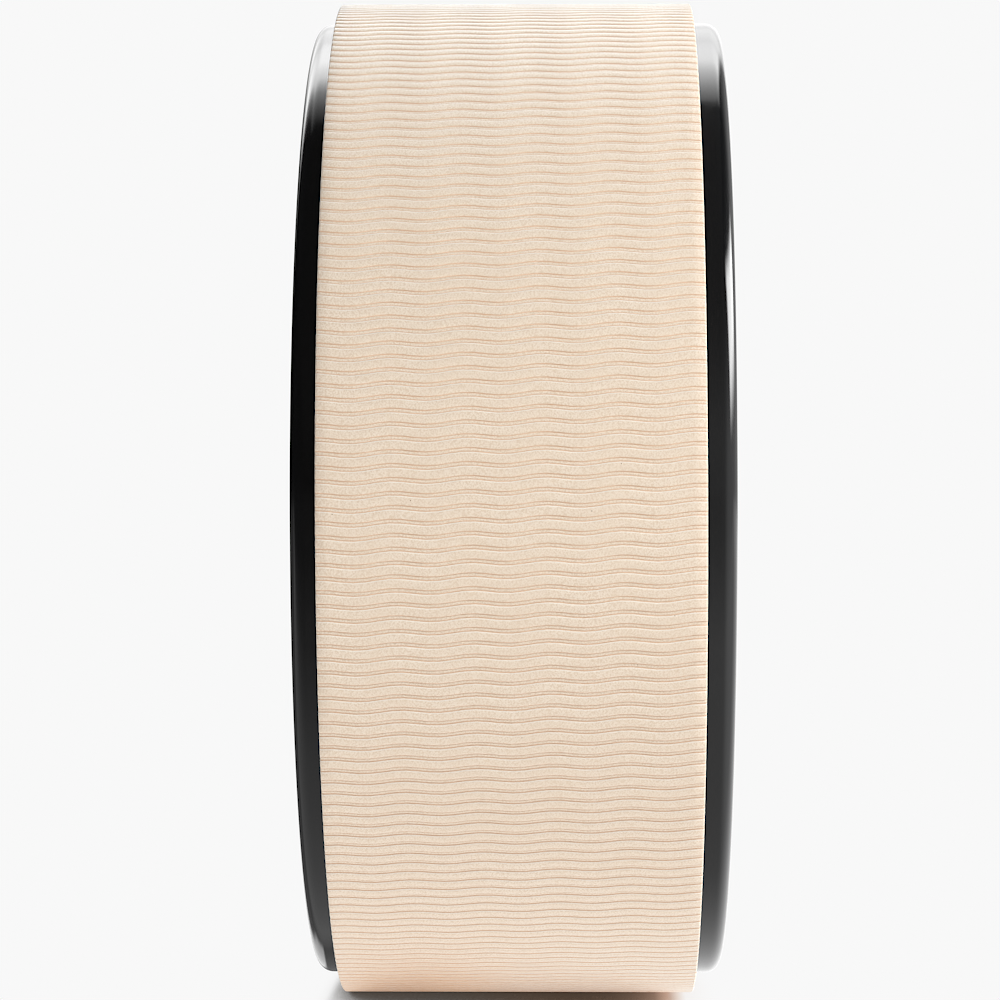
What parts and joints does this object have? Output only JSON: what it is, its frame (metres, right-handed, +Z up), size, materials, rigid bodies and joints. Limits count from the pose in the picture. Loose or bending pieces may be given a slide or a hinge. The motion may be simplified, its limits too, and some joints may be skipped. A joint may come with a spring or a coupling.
{
  "type": "yoga wheel",
  "caption": "Upright yoga wheel: a hollow glossy black plastic hoop with rounded rims, wrapped in a beige foam pad with fine wavy grooves.",
  "frame": {"origin": "centre of the wheel, on the line it rolls about, half way across its width", "axes": "+Y along the line it rolls about, towards the right-hand rim of the picture; +Z up; +X towards the picture's camera"},
  "size_m": [0.325, 0.13, 0.3245],
  "materials": {
    "gloss_black_abs": "gloss",
    "natural_abs": "matte",
    "tape": "matte",
    "beige_tpe_foam": "matte"
  },
  "bodies": {
    "root": {"right_shell": "gloss_black_abs", "left_shell": "gloss_black_abs", "alignment_dowels": "natural_abs", "tape_left": "tape", "tape_middle": "tape", "tape_right": "tape", "pad": "beige_tpe_foam"}
  },
  "joints": []
}
